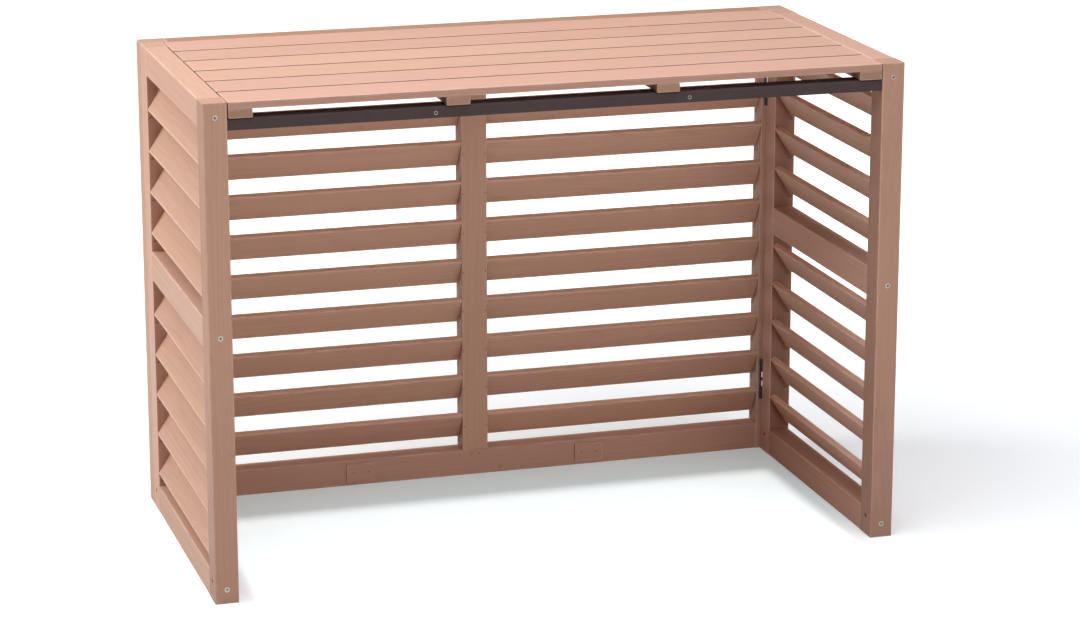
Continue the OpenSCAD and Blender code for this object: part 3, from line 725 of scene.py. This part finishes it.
def add_screw(bm, place, inward, length):
    """Adds a screw whose head lies at place and whose shank runs along inward, a unit vector."""
    before = set(bm.verts)
    profile = [(HEAD_RADIUS - HEAD_RIM + HEAD_RIM * math.sin(math.radians(angle)), 0,
                HEAD_RIM * (1 - math.cos(math.radians(angle)))) for angle in RIM_ANGLES]
    profile += [(SHANK_RADIUS, 0, HEAD_DEPTH), (SHANK_RADIUS, 0, length - POINT_LENGTH),
                (POINT_RADIUS, 0, length)]
    spin_profile(bm, profile, (0, 0, 1))
    open_edges = [edge for edge in bm.edges if edge.is_boundary]
    face_ring = [edge for edge in open_edges if all(vert.co.z < HEAD_RIM / 10 for vert in edge.verts)]
    point_ring = [edge for edge in open_edges if edge not in face_ring]
    bmesh.ops.holes_fill(bm, edges=point_ring)

    # The cross recess is cut out of the head's face and sunk; its faces take the dark painted shade
    cross = [bm.verts.new((*corner, 0)) for corner in cross_outline(RECESS_ARM, RECESS_HALF_WIDTH)]
    cross_ring = [bm.edges.new(pair) for pair in zip(cross, cross[1:] + cross[:1])]
    bmesh.ops.triangle_fill(bm, edges=face_ring + cross_ring, use_beauty=True, use_dissolve=False)
    floor_face = bm.faces.new(cross)
    sunk_part = bmesh.ops.extrude_face_region(bm, geom=[floor_face])["geom"]
    bm.faces.remove(floor_face)
    sunk_verts = [item for item in sunk_part if isinstance(item, bmesh.types.BMVert)]
    bmesh.ops.scale(bm, vec=(RECESS_TAPER, RECESS_TAPER, 1), verts=sunk_verts)
    bmesh.ops.translate(bm, vec=(0, 0, RECESS_DEPTH), verts=sunk_verts)
    for vert in sunk_verts:
        for face in vert.link_faces:
            face.material_index = 1
    turn = Vector((0, 0, 1)).rotation_difference(Vector(inward)).to_matrix().to_4x4()
    bmesh.ops.transform(bm, matrix=Matrix.Translation(place) @ turn, verts=added_since(bm, before))


def finish_piece(name, bm, materials, body, slot, *nodes):
    """Makes a bmesh a piece that rides on a body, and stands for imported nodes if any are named."""
    bmesh.ops.recalc_face_normals(bm, faces=bm.faces[:])
    mesh = bpy.data.meshes.new(name)
    bm.to_mesh(mesh)
    bm.free()
    for material in materials:
        mesh.materials.append(material)
    mesh.shade_smooth()
    mesh.set_sharp_from_angle(angle=SHARP_ANGLE)
    piece = bpy.data.objects.new(name, mesh)
    bpy.context.scene.collection.objects.link(piece)
    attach(piece, body)
    if nodes:
        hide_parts(*nodes)


# A screw holds each side rail, at the rail's middle height
screws_low, screws_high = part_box("front_stile_screws")
bm = bmesh.new()
for side in (-1, 1):
    for rail in ("right_bottom_rail", "right_mid_rail", "right_top_rail"):
        low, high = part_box(rail)
        head = Vector((side * (screws_high.x - HEAD_RADIUS), screws_low.y, (low.z + high.z) / 2))
        add_screw(bm, head, INWARDS, screws_high.y - screws_low.y)
finish_piece("frame_screw_heads", bm, [zinc_plate, recess_shade_and_dark_brads], "frame", "zinc_steel",
             "front_stile_screws")

# Holes of the brace: in each a pressed-in blind nut, a bright rim round a painted-shade bore, in metres
BRACE_HOLE_X = 0.181
BRACE_HOLE_RADIUS = 0.0022
RIM_WIDTH = 0.0005
RIM_RISE = 0.0002
RIM_SEAT = 0.0001
BORE_RADIUS = 0.0019
BORE_DEPTH = 0.0017
BORE_CENTRE = 0.0003
RIM_RADIUS = BRACE_HOLE_RADIUS + RIM_WIDTH
SLEEVE_RADIUS = BRACE_HOLE_RADIUS - RIM_RISE
SLEEVE_END = BORE_DEPTH + RIM_RISE
# Half the nut's section as distances from its axis and depths behind the brace's face, from the bore's
# bottom out over the rim and back along the sleeve
NUT_SECTION = ((BORE_CENTRE, BORE_DEPTH), (BORE_RADIUS, BORE_DEPTH), (BORE_RADIUS, -RIM_RISE / 2),
               (BORE_RADIUS + RIM_RISE, -RIM_RISE), (RIM_RADIUS - RIM_RISE, -RIM_RISE),
               (RIM_RADIUS, RIM_SEAT), (SLEEVE_RADIUS, RIM_SEAT),
               (SLEEVE_RADIUS, SLEEVE_END), (BORE_CENTRE, SLEEVE_END))
# The bore's own faces, dark with painted shade, lie deeper than this and nearer to the axis than this
BORE_MOUTH = -RIM_RISE * 0.6
BORE_WALL = BORE_RADIUS * 1.001
brace_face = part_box("front_brace")[0].y
fixing_low, fixing_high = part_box("brace_screws")
hole_height = (fixing_low.z + fixing_high.z) / 2
bm = bmesh.new()
for side in (-1, 1):
    before = set(bm.verts)
    spin_profile(bm, [(radius, depth, 0) for radius, depth in NUT_SECTION], INWARDS)
    nut_verts = added_since(bm, before)
    bmesh.ops.holes_fill(bm, edges=[edge for edge in bm.edges if edge.is_boundary])
    for face in {face for vert in nut_verts for face in vert.link_faces}:
        if all(vert.co.y > BORE_MOUTH and math.hypot(vert.co.x, vert.co.z) < BORE_WALL
               for vert in face.verts):
            face.material_index = 1
    bmesh.ops.translate(bm, vec=(side * BRACE_HOLE_X, brace_face, hole_height), verts=nut_verts)
finish_piece("brace_hole_rims", bm, [zinc_plate, recess_shade_and_dark_brads], "frame", "zinc_steel")

# Floor. The photograph's floor is white, with grey shade close to the cover and along the wide panel's
# foot, so the floor glows for the camera alone: a little beside the cover, more further off and inside
FLOOR_RADIUS, FLOOR_SIDES = 60, 96
FLOOR_COLOUR = (0.9, 0.9, 0.9, 1)
NEAR_GLOW, FAR_GLOW = 0.174, 0.9
NEAR_REACH, FAR_REACH = 0.75, 2.2
INSIDE_GLOW = 0.42
# From where to where the glow inside grows, towards the open front and towards the middle
INSIDE_FROM_BACK = (0.125, 0.075)
INSIDE_FROM_SIDE = (0.452, 0.425)
# The timber throws warm light on the floor between the panels. There the camera sees a cooler floor,
# which fades out towards the wide panel, the side panels and the open front
COVERED_FLOOR_COLOUR = (0.70, 0.90, 0.95, 1)
COVERED_FROM_BACK = (0.235, 0.205)
COVERED_FROM_SIDE = (0.49, 0.46)
COVERED_FROM_FRONT = (-0.25, -0.05)
bm = bmesh.new()
bmesh.ops.create_circle(bm, cap_ends=True, segments=FLOOR_SIDES, radius=FLOOR_RADIUS)
floor_mesh = bpy.data.meshes.new("floor")
bm.to_mesh(floor_mesh)
bm.free()
floor = bpy.data.objects.new("floor", floor_mesh)
bpy.context.scene.collection.objects.link(floor)
floor_material, tree, shader, coordinates = new_material("pale_floor")
shader.inputs["Roughness"].default_value = 0.9
shader.inputs["Specular IOR Level"].default_value = 0.1
seen = add_node(tree, "LightPath").outputs["Is Camera Ray"]
spot = coordinates.outputs["Object"]
away = vector_maths(tree, "LENGTH", spot)
glow = fade(tree, away, NEAR_REACH, FAR_REACH, NEAR_GLOW, FAR_GLOW)
parts = add_node(tree, "SeparateXYZ", Vector=spot).outputs
back = parts["Y"]
aside = maths(tree, "ABSOLUTE", parts["X"])
inside = maths(tree, "MULTIPLY", fade(tree, back, *INSIDE_FROM_BACK),
               fade(tree, aside, *INSIDE_FROM_SIDE))
glow = maths(tree, "MULTIPLY_ADD", inside, INSIDE_GLOW, glow)
covered = maths(tree, "MULTIPLY", fade(tree, back, *COVERED_FROM_BACK),
                fade(tree, aside, *COVERED_FROM_SIDE))
covered = maths(tree, "MULTIPLY", covered, fade(tree, back, *COVERED_FROM_FRONT))
feed(tree, shader.inputs["Base Color"],
     mix_colours(tree, maths(tree, "MULTIPLY", seen, covered), FLOOR_COLOUR, COVERED_FLOOR_COLOUR))
shader.inputs["Emission Color"].default_value = (1, 1, 1, 1)
feed(tree, shader.inputs["Emission Strength"], maths(tree, "MULTIPLY", seen, glow))
floor_mesh.materials.append(floor_material)

# World: how bright it looks to the camera, and how much light it gives
SKY_SEEN = 1.1
ROOM_LIGHT = 0.147
world = bpy.data.worlds.new("studio")
bpy.context.scene.world = world
world.use_nodes = True
sky = world.node_tree.nodes["Background"]
seen = add_node(world.node_tree, "LightPath").outputs["Is Camera Ray"]
feed(world.node_tree, sky.inputs["Strength"],
     maths(world.node_tree, "MULTIPLY_ADD", seen, SKY_SEEN - ROOM_LIGHT, ROOM_LIGHT))
sky.inputs["Color"].default_value = (1, 1, 1, 1)


# Light: softboxes, with sizes in metres and power in watts, and a wide soft light from the ceiling
COOL_LIGHT = (0.885, 0.935, 1.0)
WARM_LIGHT = (1.0, 0.90, 0.82)
WHITE_LIGHT = (1, 1, 1)
CEILING_POWER = 0.53
CEILING_SPREAD = math.radians(75)
CEILING_WAY = (0.1, 0.05, -1)


def softbox(name, place, target, size, power, colour):
    """A rectangular lamp that looks at its target and isn't seen itself."""
    data = bpy.data.lights.new(name, "AREA")
    data.shape = "RECTANGLE"
    data.size, data.size_y = size
    data.energy = power
    data.color = colour
    lamp = bpy.data.objects.new(name, data)
    lamp.location = place
    lamp.rotation_mode = "QUATERNION"
    lamp.rotation_quaternion = (Vector(target) - Vector(place)).to_track_quat("-Z", "Y")
    lamp.visible_camera = False
    bpy.context.scene.collection.objects.link(lamp)


softbox("left_window", place=(-2.2, 0.5, 1.9), target=(0, 0, 0.4), size=(1.8, 1.8),
        power=56, colour=WHITE_LIGHT)
softbox("overhead", place=(0, -0.7, 2.3), target=(0, 0, 0.5), size=(2.4, 1.8),
        power=51, colour=COOL_LIGHT)
softbox("front_fill", place=(0.6, -3.4, 1.2), target=(0, 0.1, 0.35), size=(2.0, 1.2),
        power=26, colour=WARM_LIGHT)
ceiling_data = bpy.data.lights.new("ceiling", "SUN")
ceiling_data.color = COOL_LIGHT
ceiling_data.energy = CEILING_POWER
ceiling_data.angle = CEILING_SPREAD
ceiling = bpy.data.objects.new("ceiling", ceiling_data)
ceiling.rotation_mode = "QUATERNION"
ceiling.rotation_quaternion = Vector(CEILING_WAY).to_track_quat("-Z", "Y")
bpy.context.scene.collection.objects.link(ceiling)

bpy.context.scene.view_settings.view_transform = "Standard"
